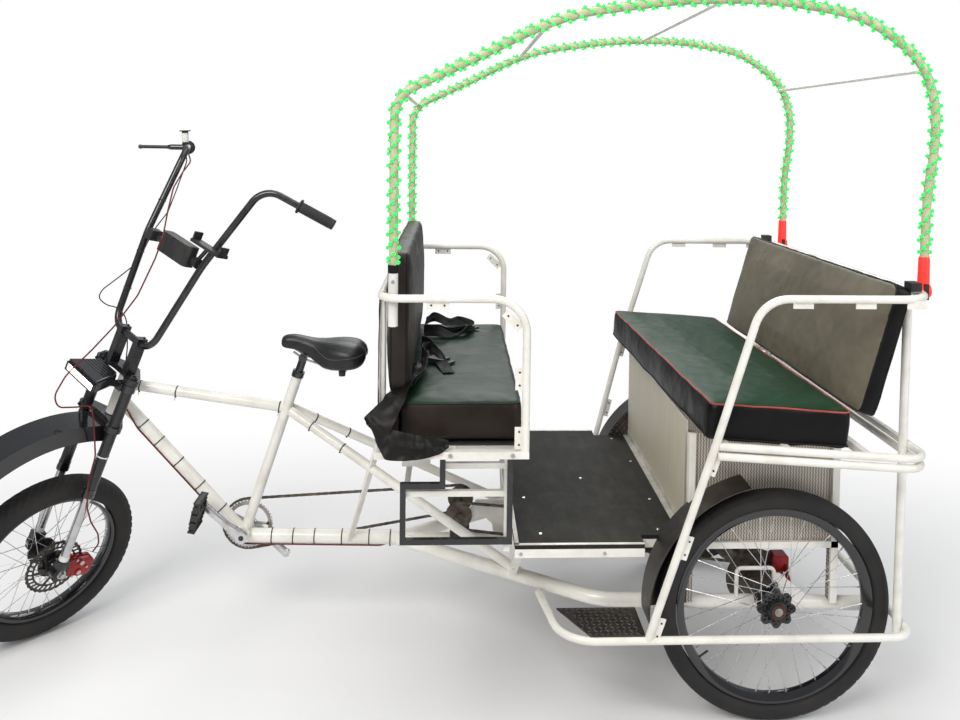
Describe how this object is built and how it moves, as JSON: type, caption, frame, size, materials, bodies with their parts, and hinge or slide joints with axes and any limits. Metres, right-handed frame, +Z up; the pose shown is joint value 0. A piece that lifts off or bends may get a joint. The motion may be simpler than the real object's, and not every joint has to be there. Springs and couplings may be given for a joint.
{
  "type": "cycle rickshaw",
  "caption": "Three-wheeled pedal vehicle with a steered front wheel, a saddle, two facing benches under open canopy hoops and a footboard.",
  "frame": {"origin": "centre of the bottom of the whole vehicle, on the ground", "axes": "+X to the rear of the vehicle, +Y to the rider's right, +Z up"},
  "size_m": [2.9223, 1.352, 2.0818],
  "materials": {
    "white_paint": "white gloss paint on steel tube",
    "black_paint": "black gloss paint",
    "steel": "bare steel",
    "dirty_steel": "dirty steel",
    "chrome": "polished",
    "tread_plate": "dark raised-pattern plate",
    "vinyl": "black vinyl cover",
    "vinyl_brown": "dark vinyl cover",
    "tyre": "black rubber tyre",
    "grip": "black rubber",
    "plastic": "black gloss plastic",
    "board": "black textured board",
    "panel": "pale grained panel",
    "red_lens": "red lens",
    "red_metal": "red anodised metal",
    "red_cable": "red hose",
    "black_cable": "black wire",
    "saddle": "black saddle cover"
  },
  "bodies": {
    "frame": {"head_tube": "white_paint", "top_tube": "white_paint", "down_tube": "white_paint", "seat_tube": "white_paint", "boom_tube": "white_paint", "stays": "white_paint", "chassis_rail_left": "white_paint", "chassis_rail_right": "white_paint", "outer_rail": "white_paint", "saddle_post": "dirty_steel", "saddle": "saddle", "bench_frame": "white_paint", "bench_pan": "board", "bench_cushion": "vinyl", "bench_backrest": "vinyl", "bench_arm_rail": "white_paint", "bench_posts": "white_paint", "side_cages": "black_paint", "under_bench": "white_paint", "platform_frame": "white_paint", "platform_floor": "board", "box_front": "panel", "box_frame": "steel", "seat_loop": "white_paint", "seat_pan": "board", "seat_cushion": "vinyl_brown", "seat_backrest": "vinyl_brown", "rear_arm_rail": "white_paint", "rear_posts": "white_paint", "canopy_hoop_left": "white_paint", "canopy_hoop_right": "white_paint", "canopy_crossbars": "white_paint", "steps": "tread_plate", "rear_fenders": "tread_plate", "rear_axle": "dirty_steel", "countershaft": "dirty_steel", "chains": "dirty_steel", "tail_lamps": "red_lens", "frame_hose": "red_cable", "hook_plate": "white_paint", "rear_caliper": "red_metal"},
    "steering": {"fork_crowns": "black_paint", "fork_legs": "black_paint", "handlebar": "black_paint", "grips": "grip", "headlamp": "plastic", "front_fender": "plastic", "front_caliper": "red_metal", "bar_fittings": "plastic", "brake_hose": "red_cable", "throttle_wire": "black_cable"},
    "front_wheel": {"front_wheel": "dirty_steel", "front_tyre": "tyre"},
    "rear_wheel_left": {"rear_wheel_left": "chrome", "rear_tyre_left": "tyre"},
    "rear_wheel_right": {"rear_wheel_right": "chrome", "rear_tyre_right": "tyre"},
    "crankset": {"crankset": "dirty_steel"},
    "pedal": {"pedal": "plastic"}
  },
  "joints": [
    {"name": "steering", "type": "hinge", "parent": "frame", "child": "steering", "pos_m": [-0.985, 0, 0.795], "axis": [0.3502, 0, 0.9367], "range_deg": [-110, 10]},
    {"name": "front_wheel", "type": "hinge", "parent": "steering", "child": "front_wheel", "pos_m": [-1.20578, -0.03294, 0.28343], "axis": [-0.7175, 0.6428, 0.2683], "continuous": true},
    {"name": "rear_wheel_left", "type": "hinge", "parent": "frame", "child": "rear_wheel_left", "pos_m": [1.056, -0.487, 0.34], "axis": [0, 1, 0], "continuous": true},
    {"name": "rear_wheel_right", "type": "hinge", "parent": "frame", "child": "rear_wheel_right", "pos_m": [1.056, 0.487, 0.34], "axis": [0, 1, 0], "continuous": true},
    {"name": "crankset", "type": "hinge", "parent": "frame", "child": "crankset", "pos_m": [-0.566, 0, 0.356], "axis": [0, 1, 0], "continuous": true},
    {"name": "pedal", "type": "hinge", "parent": "crankset", "child": "pedal", "pos_m": [-0.68862, -0.12, 0.46641], "axis": [0, 1, 0], "continuous": true}
  ]
}
